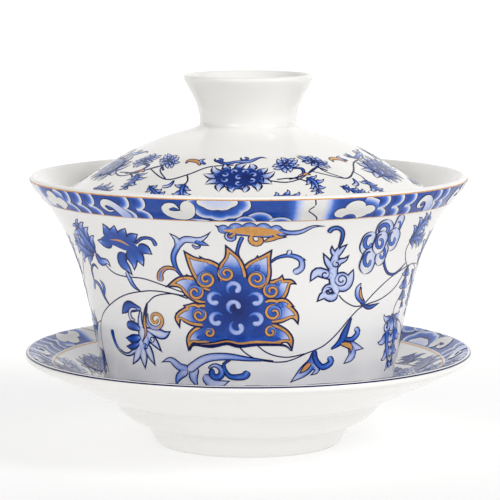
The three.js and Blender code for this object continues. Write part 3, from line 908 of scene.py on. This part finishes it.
def bowl_sides(brush):
    """The leaves and sprigs between one panel's flowers and the next."""
    frond(brush, [(-40.4, 10.6), (-43.6, 13.4), (-47.2, 18.4)], 4, 5.6)
    frond(brush, [(-41.6, 9.8), (-45.6, 10.6), (-51.0, 13.0)], 4, 5.0)
    tip = [(-40.6, 10.4), (-38.8, 8.4), (-36.2, 8.6), (-34.8, 7.2)]
    brush.leaf(tip, (0.6, 1.2, 0.9, 0), LEAFY, level=2)
    tendril = [(-40.8, 6.0), (-42.6, 7.0), (-44.6, 5.4), (-44.2, 2.0)]
    brush.leaf(tendril, (0.2, 0.45, 0.5, 0.25), (0.8, 0.6))
    tendril = [(-37.2, -3.4), (-39.4, -1.4), (-41.4, 1.4), (-43.8, 2.2), (-44.8, 0.0)]
    brush.leaf(tendril, (0.2, 0.5, 0.6, 0.5, 0.6), (0.8, 0.3))
    brush.leaf([(-39.4, -1.2), (-39.2, 1.4), (-41.0, 3.2)], (0.3, 0.7, 0), (0.7, 0.3))
    frond(brush, [(-43.8, -16.4), (-45.6, -18.6), (-46.4, -22.0)], 3, 4.0, width=0.3)
    frond(brush, [(-46.0, -9.6), (-50.6, -9.8), (-55.0, -12.4)], 4, 4.4)
    frond(brush, [(-55.0, 2.4), (-58.6, 7.0), (-58.0, 13.6)], 4, 4.8)
    frond(brush, [(51.8, 6.6), (51.2, 1.0), (51.6, -5.4)], 4, 3.6, swing=50, width=0.3)
    frond(brush, [(51.0, 14.6), (53.8, 17.6), (58.0, 20.4)], 4, 4.2)
    frond(brush, [(49.4, 13.8), (53.4, 14.2), (58.0, 13.4)], 4, 4.0)
    bloom(brush.moved((68.6, -0.6)), 6.6)
    frond(brush, [(61.0, 5.0), (62.4, 9.4), (67.0, 14.0)], 4, 4.8)
    frond(brush, [(56.0, 4.8), (59.0, -0.6), (56.6, -8.6)], 4, 4.2)
    frond(brush, [(55.6, -12.4), (59.6, -15.4), (64.6, -15.8)], 4, 4.4)
    brush.leaf([(-25.0, 1.6), (-27.4, 3.2), (-29.4, 6.6)], (0.12, 0.7, 0.65), (0.7, 0.2))
    brush.leaf([(33.8, -2.0), (31.6, 0.2), (31.2, 2.2), (32.2, 3.8)], (0.3, 1.0, 1.0, 0.2), (0.7, 0.1))
    brush.gold_leaf([(33.2, -1.2), (32.0, 0.8), (32.2, 2.8)], (0.2, 0.6, 0.2), level=1)
    brush.leaf([(32.0, -1.4), (35.0, -2.9), (39.4, -2.2)], (0.3, 0.7, 0), (0.95, 0.5))


def bowl_scroll(brush):
    """One panel of the bowl's painting: the lotus, and the vines, leaves and flowers round it."""
    parts = (
        lotus, bowl_vines, bowl_sides, forked_leaf, hook_right, lily, flame_leaf, left_leaf, jagged_leaf,
        foot_scroll, gilded_sprigs, spiky_leaf,
    )
    for part in parts:
        part(brush)
    blossom(brush.moved((38.0, 14.6)), 6.0)
    stem = [(39.4, 11.4), (39.9, 8.0), (41.8, 5.4), (45.4, 5.0), (50.4, 7.6)]
    brush.leaf(stem, (0.5, 0.5, 0.42, 0.36, 0.1), (0.85, 0.6))


def lid_scroll(brush):
    """One panel of the lid's painting: a small lotus between blooms, cut leaves and vines."""
    small_lotus(brush.moved((0.5, 1.2)))
    leafy = (0.8, 0.35, 0.0)
    vines = (
        [(-24.0, 3.4), (-18.0, -0.4), (-12.4, 1.8), (-7.0, 5.4), (-1.0, 6.4)],
        [(-12.4, 1.8), (-12.0, -0.4), (-12.8, -2.4)],
        [(7.0, 0.2), (12.0, -0.8), (16.0, 0.8), (19.4, 4.6), (23.0, 3.0)],
        [(9.6, 0.4), (14.4, 0.6), (20.0, -2.4)],
        [(-18.0, -0.4), (-20.4, 3.0), (-19.4, 6.0)],
    )
    for points in vines:
        brush.vine(points, 1.3)
    brush.leaf([(12.6, 0.2), (16.0, 1.8), (15.8, 4.4), (13.4, 4.8)], (0.2, 0.4, 0.5, 0.3), (0.9, 0.6))
    brush.leaf([(17.8, 2.4), (20.0, 5.4), (18.2, 7.4), (15.6, 7.6)], (0.2, 0.4, 0.5, 0.5), (0.9, 0.6))
    bloom(brush.moved((11.6, 6.4)), 3.6)
    bloom(brush.moved((-18.4, 7.2)), 3.4)
    crest = [(-5.6, 8.4), (-3.2, 7.0), (-0.4, 7.9), (2.4, 8.0), (5.0, 9.8), (7.0, 9.4)]
    brush.leaf(crest, (0.5, 0.7, 0.6, 0.7, 0.5, 0), (0.95, 0.4, 0.7))
    curl(brush, (-4.8, 8.6), 1.2, 150, 330, (0.9, 0.5))
    curl(brush, (1.4, 9.4), 1.1, 150, 330, (0.9, 0.5))
    brush.gold_leaf([(-9.4, 5.8), (-10.4, 7.6), (-12.6, 7.8), (-13.4, 6.4)], (0.3, 0.8, 0.7, 0.2))
    brush.leaf([(-8.0, 6.4), (-9.6, 7.8), (-8.2, 9.0)], (0.4, 0.7, 0), leafy)
    brush.leaf([(-15.6, -0.6), (-16.6, -2.6), (-18.6, -3.4)], (0.3, 0.6, 0.6), leafy)
    frond(brush, [(-12.4, -1.6), (-13.2, -4.2), (-12.4, -7.6)], 3, 3.0, leafy, 60, 0.3)
    frond(brush, [(8.8, -6.8), (12.4, -6.0), (17.4, -7.0)], 4, 2.6, leafy, 60, 0.32)
    frond(brush, [(-22.6, -3.2), (-20.2, -5.6), (-17.0, -7.2)], 4, 2.7, leafy, 60, 0.3)
    frond(brush, [(17.0, 0.8), (19.4, -1.4), (20.6, -5.4)], 4, 3.0, leafy, 55, 0.3)
    brush.gold_leaf([(14.8, 1.4), (16.8, 2.2), (18.4, 1.6)], (0.3, 0.7, 0))


def saucer_scroll(brush):
    """One panel of the saucer's painting: a small lotus, then blooms and broad leaves on a vine."""
    small_lotus(brush.moved((0, 0), size=0.9))
    vines = (
        [(7.0, 0.6), (11.0, 2.0), (15.0, 0.4), (19.0, -2.0), (24.0, -1.6), (33.0, 0.4)],
        [(11.0, 2.0), (14.0, 5.0), (19.0, 6.0)],
        [(22.0, -2.0), (25.0, 2.0), (29.0, 4.0)],
    )
    for points in vines:
        brush.vine(points, 1.4)
    broad = {"wash": (1.0, 0.8, 0.4), "swing": 58, "width": 0.36}
    frond(brush, [(8.4, 3.4), (12.0, 6.0), (18.0, 6.6)], 4, 4.6, **broad)
    frond(brush, [(16.6, -1.4), (20.0, -4.4), (26.4, -5.6)], 4, 4.6, **broad)
    frond(brush, [(23.6, 1.0), (26.6, 4.6), (32.4, 5.8)], 4, 4.4, **broad)
    bloom(brush.moved((12.4, -3.8)), 4.8)
    bloom(brush.moved((20.8, 2.2)), 4.2)
    frond(brush, [(27.6, -1.4), (30.4, -3.4), (34.4, -4.2)], 3, 3.6, **broad)


# ---- Bands ----------------------------------------------------------------------------------


class Band:
    """A painted band between two places along the section, all the way round a piece.

    Drawing places are x along the band's middle circle and y from its middle, and nothing drawn
    leaves the band.
    """

    def __init__(self, coats, face, low, high, turn=0.0, size=1.0):
        self.coats = coats
        self.face = face
        self.low = low
        self.high = high
        self.turn = turn
        self.size = size

    def ring(self, coat, wash=1.0, steps=400):
        """A plain strip that fills the band."""
        self.patch(coat, (0, 2 * math.pi), lambda share: wash + 0 * share, 0, steps)

    def patch(self, coat, angles, wash, level, steps, tallest=0.4):
        """A strip between two angles, as high as the band. Wash is a function of its length."""
        rows = max(4, math.ceil((self.high - self.low) / tallest))
        share = np.linspace(0, 1, steps + 1)[None, :]
        y = np.linspace(self.low, self.high, rows + 1)[:, None] + 0 * share
        x = between(angles, share) * self.face.radius_at(y)
        self.coats[coat].add(x, y, wash(share) + 0 * y, self.turn, level)

    def fade(self, start, end, wash, level):
        """A patch between two drawing places, whose wash runs smoothly from one to the other."""
        middle = float(self.face.radius_at((self.low + self.high) / 2))
        angles = (start * self.size / middle, end * self.size / middle)
        self.patch("wash", angles, lambda t: between(wash, t**2 * (3 - 2 * t)), level, 12)

    def lay(self, coat, x, y, wash, level):
        """Adds a mark. It keeps its angles over the band's height, so x grows with the radius."""
        middle = (self.low + self.high) / 2
        y = np.clip(middle + y * self.size, self.low, self.high)
        x = x * self.size * self.face.radius_at(y) / self.face.radius_at(middle)
        self.coats[coat].add(x, y, wash, self.turn, level)

    def cloud(self, x, y, size, angles, wash, level, scallops=0, fade=3.0):
        """A fan with a dark round edge, which can be scalloped. Its wash runs from the middle to
        the edge as a power of the share of the way out, so that most of it is near the edge.
        """
        wide, high = size
        begin, end = np.radians(angles)
        count = max(13, math.ceil(abs(end - begin) * max(size) / 0.45))
        rows = max(7, math.ceil(max(size) / 0.6))
        share = np.linspace(PINHOLE, 1, rows)[:, None]
        angle = np.linspace(begin, end, count)[None, :]
        lobes = 1 + 0.09 * np.abs(np.sin(scallops * math.pi * (angle - begin) / (end - begin)))
        strength = between(wash, share**fade)
        for coat, grow, tone in (("line", BAND_LINE, 1 + 0 * share), ("wash", 0, strength)):
            fan_x = x + (wide + grow) * lobes * share * np.cos(angle)
            fan_y = y + (high + grow) * lobes * share * np.sin(angle)
            self.lay(coat, fan_x, fan_y, tone + 0 * fan_x, level)

    def stroke(self, points, halves, wash=(0.0, 0.0), level=0):
        """An outlined brush stroke."""
        for coat, inset in (("line", 0), ("wash", BAND_LINE)):
            grid = stroke_grid(points, halves, inset)
            if grid:
                x, y, along, _ = grid
                self.lay(coat, x, y, between(wash, along), level)

    def line(self, points, level):
        """A thin dark line."""
        x, y, along, _ = stroke_grid(points, (BAND_LINE,) * 3)
        self.lay("line", x, y, 1 + 0 * along, level)


def wave(band, x, level):
    """A wave crest across the whole band: two lobes, pale at their right edges."""
    band.cloud(x - 3.2, 1.9, (3.2, 2.5), (-82, 82), (0.95, -0.1), level, fade=2.4)
    band.cloud(x - 3.0, -2.5, (3.5, 2.6), (-82, 84), (0.95, -0.1), level, fade=2.4)


def comma_cloud(band, x):
    """A white comma that rises from the lower edge and curls over to the left."""
    path = [(3.8, -4.0), (2.6, -1.4), (0.7, 0.9), (-1.5, 1.4), (-2.5, 0.1), (-1.4, -1.3), (0.4, -1.0)]
    halves = (1.7, 1.6, 1.3, 1.1, 0.85, 0.55, 0.2)
    band.stroke([(x + a, b) for a, b in path], halves, (0.45, -0.25), level=5)


def cloud_repeat(band):
    """One repeat of the cloud band, about 82 mm long and 6.5 mm high.

    From left to right: wave crests with a white comma among them, a thick white scroll against a
    hanging two-fold cloud, low round clouds, a gap that pales to a wavy line, and a white
    trefoil cloud on a blue arch.
    """
    for x, level in ((-47.2, 3), (-42.9, 2), (-38.6, 1), (-28.2, 3), (-24.0, 2)):
        wave(band, x, level)
    comma_cloud(band, -33.9)
    band.cloud(-6.7, 3.3, (6.9, 5.7), (180, 360), (0.95, 0.0), 2, scallops=5, fade=4.5)
    band.cloud(-6.9, 3.4, (4.4, 2.7), (180, 360), (0.25, 0.0), 3, scallops=4)
    thick = [(0.2, 0.4), (-1.2, 1.7), (-3.2, 1.0), (-2.9, -0.7), (-0.6, -1.4), (1.7, -0.7), (2.3, 3.0)]
    band.stroke([(x - 15.9, y) for x, y in thick], (0.1, 0.8, 1.1, 1.4, 1.7, 1.9, 1.6), level=4)
    band.stroke([(-14.0, -2.6), (-11.0, -2.9), (-8.6, -3.0)], (0.3, 0.5, 0.1), (0.5, 0.0), level=4)
    band.cloud(2.6, -3.4, (3.4, 3.3), (0, 180), (0.92, 0.12), 2, fade=2.4)
    band.cloud(-0.6, -3.7, (2.5, 2.2), (0, 180), (0.9, 0.1), 3, fade=2.4)
    band.cloud(7.6, -3.7, (2.9, 1.8), (0, 180), (0.8, 0.05), 3, fade=2.0)
    band.fade(8.4, 14.2, (BAND_BLUE, -0.1), 1)
    band.fade(14.0, 16.4, (-0.1, -0.1), 1.25)
    band.fade(16.2, 21.4, (-0.1, BAND_BLUE), 1)
    band.line([(15.0, 3.4), (15.2, 1.7), (13.9, 0.2), (15.0, -0.9), (16.3, -2.2), (16.6, -3.4)], 2)
    band.cloud(25.6, -1.6, (8.6, 5.2), (0, 75), (0.95, 0.0), 1.5, fade=4.0)
    trefoil = (
        (22.3, -1.0, (1.8, 1.5)), (25.4, 0.6, (2.6, 1.9)), (29.0, -0.5, (2.1, 1.5)),
        (25.6, -1.6, (4.0, 1.5)),
    )
    for x, y, size in trefoil:
        band.cloud(x, y, size, (0, 360), (0.0, 0.0), 3)
    band.cloud(24.8, -3.6, (2.0, 1.9), (0, 180), (1.0, 0.7), 4)


def cloud_band(coats, face, low, high, turn):
    """The cloud band's repeats on a blue ground, sized to meet one another round the piece."""
    Band(coats, face, low, high).ring("wash", BAND_BLUE)
    middle = float(face.radius_at((low + high) / 2))
    size = 2 * math.pi * middle / (BAND_REPEATS * BAND_REPEAT)
    for k in range(BAND_REPEATS):
        onward = 2 * math.pi / BAND_REPEATS * k
        cloud_repeat(Band(coats, face, low, high, turn + onward, size))


# ---- Finishes -------------------------------------------------------------------------------


def set_sockets(node, **values):
    """Sets values on a node's own sockets. An underscore stands for a space in a socket's name."""
    for name, value in values.items():
        node.inputs[name.replace("_", " ")].default_value = value


def shader(name, specular=0.5, coat=0.3):
    """A new material, its node tree, and its Principled shader, set as a clear glaze."""
    material = bpy.data.materials.new(name)
    material.use_nodes = True
    principled = material.node_tree.nodes["Principled BSDF"]
    set_sockets(
        principled,
        Roughness=bpy.context.scene.gaiwan_glaze.roughness,
        IOR=1.5,
        Specular_IOR_Level=specular,
        Coat_Weight=coat,
        Coat_Roughness=0.05,
    )
    return material, material.node_tree, principled


def noise(tree, scale, detail=3.0):
    """A noise texture on Object coordinates: features are about 1 / scale metres."""
    coordinates = tree.nodes.new("ShaderNodeTexCoord")
    texture = tree.nodes.new("ShaderNodeTexNoise")
    set_sockets(texture, Scale=scale, Detail=detail)
    tree.links.new(coordinates.outputs["Object"], texture.inputs["Vector"])
    return texture.outputs["Fac"]


def ramp(tree, source, stops, target):
    """A colour ramp from (position, colour) stops, between a source and a target socket."""
    node = tree.nodes.new("ShaderNodeValToRGB")
    elements = node.color_ramp.elements
    while len(elements) < len(stops):
        elements.new(1.0)
    for element, (position, tint) in zip(elements, stops):
        element.position = position
        element.color = (*tint, 1)
    tree.links.new(source, node.inputs["Fac"])
    tree.links.new(node.outputs["Color"], target)


def along_y(tree, coordinates, start, end):
    """How far the Y of some coordinates has come from a start to an end, from 0 to 1."""
    source = tree.nodes.new("ShaderNodeTexCoord")
    axes = tree.nodes.new("ShaderNodeSeparateXYZ")
    tree.links.new(source.outputs[coordinates], axes.inputs["Vector"])
    share = tree.nodes.new("ShaderNodeMapRange")
    set_sockets(share, From_Min=start, From_Max=end)
    tree.links.new(axes.outputs["Y"], share.inputs["Value"])
    return share.outputs["Result"]


def ripple(tree, principled, strength, distance=0.2 * MM, scale=120.0):
    """The slow unevenness of a glaze, as bump."""
    bump = tree.nodes.new("ShaderNodeBump")
    set_sockets(bump, Strength=strength, Distance=distance)
    tree.links.new(noise(tree, scale, 1.0), bump.inputs["Height"])
    tree.links.new(bump.outputs["Normal"], principled.inputs["Normal"])


def shade(tint, factor):
    """A colour made darker or lighter."""
    return tuple(min(1, channel * factor) for channel in tint)


def arithmetic(tree, operation, source, *values):
    """A Math node with a source on its first socket, and values on the next ones."""
    node = tree.nodes.new("ShaderNodeMath")
    node.operation = operation
    tree.links.new(source, node.inputs[0])
    for k, value in enumerate(values, 1):
        node.inputs[k].default_value = value
    return node


def white_glaze():
    """Glazed white porcelain: faint warm and cool clouds, a slow ripple, a touch of depth."""
    glaze = bpy.context.scene.gaiwan_glaze
    material, tree, principled = shader("white_glaze")
    red, green, blue = glaze.white
    stops = ((0.3, shade(glaze.white, 0.985)), (0.7, (red, green * 0.992, blue * 0.975)))
    ramp(tree, noise(tree, 55.0), stops, principled.inputs["Base Color"])
    ripple(tree, principled, glaze.ripple)
    return material


def cobalt_wash():
    """Blue wash: its strength is the mark's own, mottled where the pigment pooled."""
    paint = bpy.context.scene.gaiwan_paint
    material, tree, principled = shader("cobalt_wash", 0.3, 0.0)
    strength = tree.nodes.new("ShaderNodeAttribute")
    strength.attribute_name = "wash"
    mottled = arithmetic(tree, "MULTIPLY_ADD", noise(tree, 900.0, 4.0), 0.14)
    tree.links.new(strength.outputs["Fac"], mottled.inputs[2])
    scaled = arithmetic(tree, "MULTIPLY", mottled.outputs[0], 0.8)
    tints = (bpy.context.scene.gaiwan_glaze.white, paint.pale, paint.middle, paint.deep, paint.ink)
    stops = tuple(zip((0.08, 0.28, 0.54, 0.80, 1.0), tints))
    ramp(tree, scaled.outputs[0], stops, principled.inputs["Base Color"])
    return material


def cobalt_line():
    """Dark blue outline, a little stronger and weaker along its length."""
    line = bpy.context.scene.gaiwan_paint.line
    material, tree, principled = shader("cobalt_line", 0.3, 0.0)
    stops = ((0.35, tuple(line)), (0.75, shade(line, 1.9)))
    ramp(tree, noise(tree, 420.0), stops, principled.inputs["Base Color"])
    return material


def gilding():
    """Ochre gold enamel: thin and mottled, a little metallic."""
    gilt = bpy.context.scene.gaiwan_paint.gilt
    material, tree, principled = shader("gilding", 0.4, 0.0)
    stops = ((0.3, shade(gilt, 0.78)), (0.7, shade(gilt, 1.15)))
    ramp(tree, noise(tree, 700.0, 4.0), stops, principled.inputs["Base Color"])
    set_sockets(principled, Metallic=0.15, Roughness=0.28)
    return material


FINISHES = {
    "body": (white_glaze, "white_glaze"),
    "line": (cobalt_line, "cobalt_blue"),
    "gilt": (gilding, "gilding"),
    "wash": (cobalt_wash, "cobalt_blue"),
    "light": (cobalt_wash, "cobalt_blue"),
}


def finish(piece, coat, body):
    """Gives a piece its material, and sets it on its body."""
    make, slot = FINISHES[coat]
    material = bpy.data.materials.get(make.__name__) or make()
    piece.data.materials.append(material)
    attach(piece, body)


def place_body(node, axis):
    """Makes a turned body that stands for its frame node.

    Returns its painted face and the four empty coats. The face starts at the section's point
    that is farthest out on axis 0, or highest on axis 1.
    """
    section = smoothed(node_section(node))
    facets = bpy.context.scene.gaiwan_glaze.facets
    piece = turned_body(f"{node}_porcelain", section, facets)
    finish(piece, "body", node)
    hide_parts(node)
    face = PaintedFace(section, int(section[:, axis].argmax()))
    return face, {name: Coat(face, rank) for rank, name in enumerate(COATS)}


def paint_panels(coats, motif, count, first, y):
    """Draws a motif on equal panels round a piece, the first one turned by some degrees."""
    for k in range(count):
        motif(Brush(coats, math.radians(first + 360 / count * k), (0, y)))


def place_coats(coats, body):
    """Turns each coat that has marks into a piece."""
    for name, coat in coats.items():
        if coat.marks:
            finish(coat.build(f"{body}_{name}"), name, body)


# ---- Stage ----------------------------------------------------------------------------------


def cyclorama(name, depth=1.6, width=2.6, radius=0.8, height=2.6, steps=24):
    """A floor that bends up into a backdrop: a profile along Y, carried along X."""
    bend = np.linspace(0, math.pi / 2, steps)
    floor = np.array([[-depth, 0.0]])
    cove = np.stack([depth + radius * np.sin(bend), radius * (1 - np.cos(bend))], axis=1)
    wall = np.array([[depth + radius, height]])
    profile = np.vstack([floor, cove, wall])
    rows = len(profile)
    sides = [np.column_stack([np.full(rows, x), profile]) for x in (-width, width)]
    k = np.arange(rows - 1)
    quads = np.stack([k, k + rows, k + rows + 1, k + 1], axis=-1)
    uv = np.zeros((quads.size, 2))
    return new_object(name, np.vstack(sides), [quads], uv)


def area_light(name, location, power, side=0.5, target=(0, 0, 0.05)):
    """A square light, turned towards the middle of the gaiwan."""
    data = bpy.data.lights.new(name, "AREA")
    data.shape = "RECTANGLE"
    data.size = data.size_y = side
    data.energy = power
    light = bpy.data.objects.new(name, data)
    light.location = location
    light.rotation_euler = (Vector(target) - Vector(location)).to_track_quat("-Z", "Y").to_euler()
    bpy.context.scene.collection.objects.link(light)


class GAIWAN_OT_stage(bpy.types.Operator):
    """Sets the camera, the pale floor and the soft studio light"""

    bl_idname = "gaiwan.stage"
    bl_label = "Stage"

    def execute(self, context):
        scene = context.scene
        settings = scene.gaiwan_stage
        data = bpy.data.cameras.new("camera")
        data.lens = settings.lens
        data.sensor_width = 36
        data.clip_end = 20
        camera = bpy.data.objects.new("camera", data)
        camera.location = (0.4 * MM, -settings.distance, settings.height)
        camera.rotation_euler = (math.pi / 2 - settings.tilt, 0, 0)
        scene.collection.objects.link(camera)
        scene.camera = camera

        floor = cyclorama("floor")
        material = bpy.data.materials.new("pale_floor")
        material.use_nodes = True
        tree = material.node_tree
        principled = tree.nodes["Principled BSDF"]
        set_sockets(
            principled,
            Base_Color=(*settings.floor, 1),
            Roughness=0.9,
            Specular_IOR_Level=0.1,
            Emission_Color=(1, 1, 1, 1),
        )
        stops = tuple(zip((0.0, 0.28, 0.75), ((share,) * 3 for share in settings.glow)))
        depth = along_y(tree, "Object", -0.30, 0.50)
        ramp(tree, depth, stops, principled.inputs["Emission Strength"])
        floor.data.materials.append(material)

        world = bpy.data.worlds.new("studio")
        world.use_nodes = True
        tree = world.node_tree
        stops = ((0.0, (0.31, 0.305, 0.3)), (1.0, (0.96, 0.95, 0.935)))
        towards = along_y(tree, "Generated", 0.35, -0.9)
        ramp(tree, towards, stops, tree.nodes["Background"].inputs["Color"])
        scene.world = world
        scene.view_settings.view_transform = "Standard"

        area_light("key", (1.0, -0.65, 0.8), 8.0)
        area_light("fill", (-0.7, -1.1, 0.5), 2.8)
        return {"FINISHED"}


# ---- Pieces ---------------------------------------------------------------------------------


class GAIWAN_OT_saucer(bpy.types.Operator):
    """Makes the saucer and its painting"""

    bl_idname = "gaiwan.saucer"
    bl_label = "Saucer"

    def execute(self, context):
        face, coats = place_body("saucer", 1)
        cloud_band(coats, face, 0.0, 6.4, math.radians(35))
        Band(coats, face, -0.85, -0.45).ring("line")
        Band(coats, face, 6.9, 7.2).ring("gilt")
        paint_panels(coats, saucer_scroll, 6, 10, 15.4)
        place_coats(coats, "saucer")
        return {"FINISHED"}


class GAIWAN_OT_bowl(bpy.types.Operator):
    """Makes the bowl and its painting"""

    bl_idname = "gaiwan.bowl"
    bl_label = "Bowl"

    def execute(self, context):
        face, coats = place_body("bowl", 0)
        cloud_band(coats, face, -6.45, -0.05, 0.0)
        Band(coats, face, -0.05, 0.22).ring("gilt")
        Band(coats, face, -6.72, -6.45).ring("gilt")
        paint_panels(coats, bowl_scroll, 2, -3.75, -29.4)
        place_coats(coats, "bowl")
        return {"FINISHED"}


class GAIWAN_OT_lid(bpy.types.Operator):
    """Makes the lid with its ring knob, and its painting"""

    bl_idname = "gaiwan.lid"
    bl_label = "Lid"

    def execute(self, context):
        _, coats = place_body("lid", 0)
        paint_panels(coats, lid_scroll, 5, -4.5, 14.6)
        place_coats(coats, "lid")
        return {"FINISHED"}


class GAIWAN_PT_panel(bpy.types.Panel):
    """Lists the sizes and colours, and a button for each piece"""

    bl_label = "Gaiwan"
    bl_idname = "GAIWAN_PT_panel"
    bl_space_type = "VIEW_3D"
    bl_region_type = "UI"
    bl_category = "Gaiwan"

    def draw(self, context):
        for group in SETTINGS:
            settings = getattr(context.scene, group)
            box = self.layout.box()
            for name in settings.__annotations__:
                box.prop(settings, name)
        for operator in OPERATORS:
            self.layout.operator(operator.bl_idname)


SETTINGS = {
    "gaiwan_glaze": GlazeSettings,
    "gaiwan_paint": PaintSettings,
    "gaiwan_stage": StageSettings,
}
OPERATORS = (GAIWAN_OT_stage, GAIWAN_OT_saucer, GAIWAN_OT_bowl, GAIWAN_OT_lid)
CLASSES = (*SETTINGS.values(), *OPERATORS, GAIWAN_PT_panel)


def register():
    """Registers the classes, and sets the sizes and colours on the scene."""
    for cls in CLASSES:
        bpy.utils.register_class(cls)
    for name, cls in SETTINGS.items():
        setattr(bpy.types.Scene, name, PointerProperty(type=cls))


def unregister():
    """Takes back what register did."""
    for name in SETTINGS:
        delattr(bpy.types.Scene, name)
    for cls in reversed(CLASSES):
        bpy.utils.unregister_class(cls)


def main():
    """Builds the stage and the three pieces."""
    register()
    bpy.ops.gaiwan.stage()
    bpy.ops.gaiwan.saucer()
    bpy.ops.gaiwan.bowl()
    bpy.ops.gaiwan.lid()


if __name__ == "__main__":
    main()
